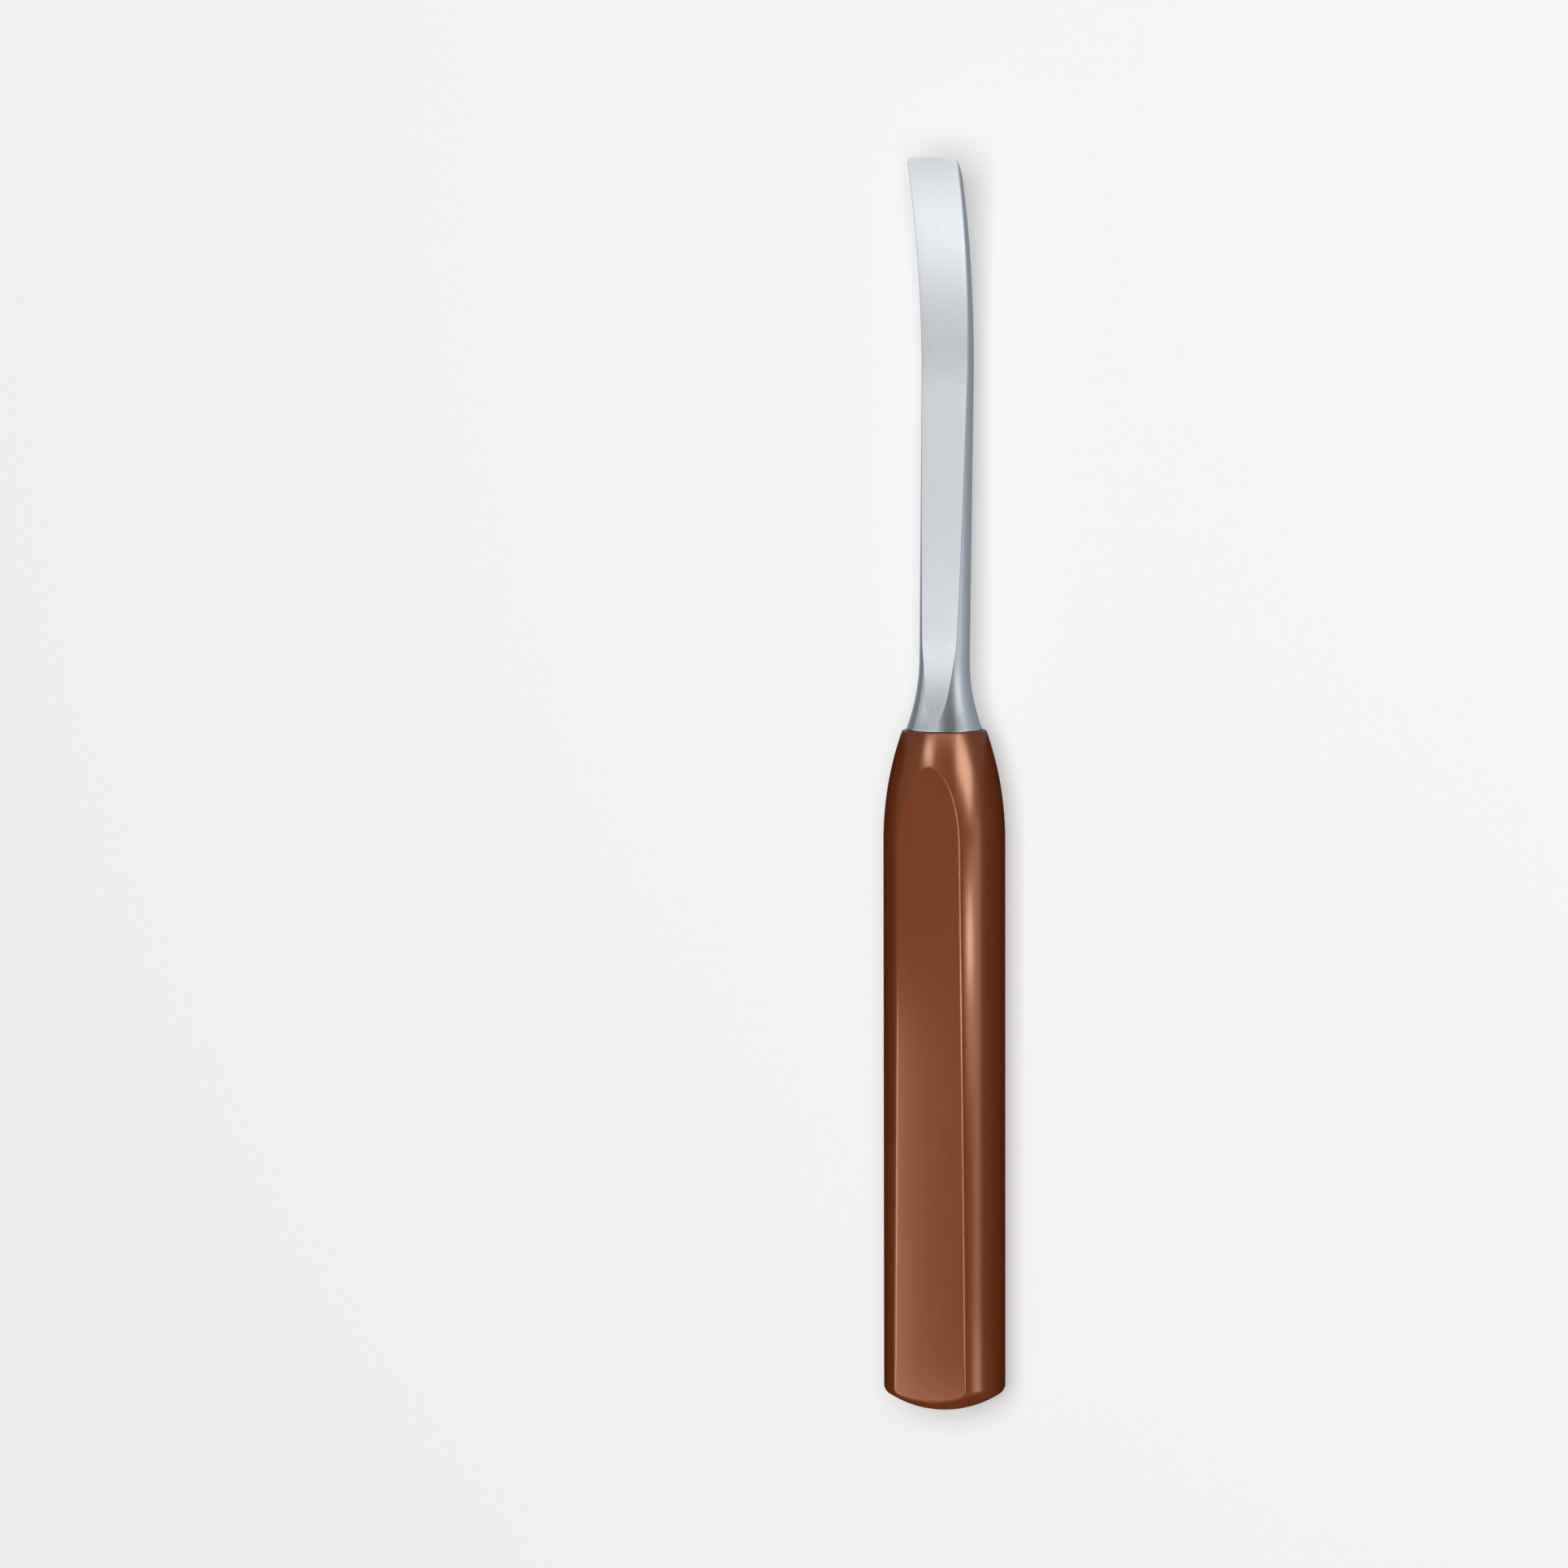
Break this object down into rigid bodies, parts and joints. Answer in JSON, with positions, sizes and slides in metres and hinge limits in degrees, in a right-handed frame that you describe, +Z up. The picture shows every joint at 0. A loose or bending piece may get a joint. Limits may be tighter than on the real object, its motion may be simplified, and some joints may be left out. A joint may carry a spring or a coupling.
{
  "type": "bone chisel",
  "caption": "Surgical bone chisel: curved steel blade with a bevelled edge and flared neck, set in a brown phenolic handle with two flats.",
  "frame": {"origin": "on the surface that the chisel lies on, under the middle of its whole length and width", "axes": "+Y along the handle towards the cutting edge, +Z up out of the front of the blade, towards which its end curves, +X to the right of the blade seen from the front"},
  "size_m": [0.0238, 0.245, 0.0203],
  "materials": {
    "steel": "satin, finely brushed along the blade",
    "phenolic": "polished reddish-brown fabric laminate with a soft sheen"
  },
  "bodies": {
    "root": {"blade": "steel", "handle": "phenolic"}
  },
  "joints": []
}
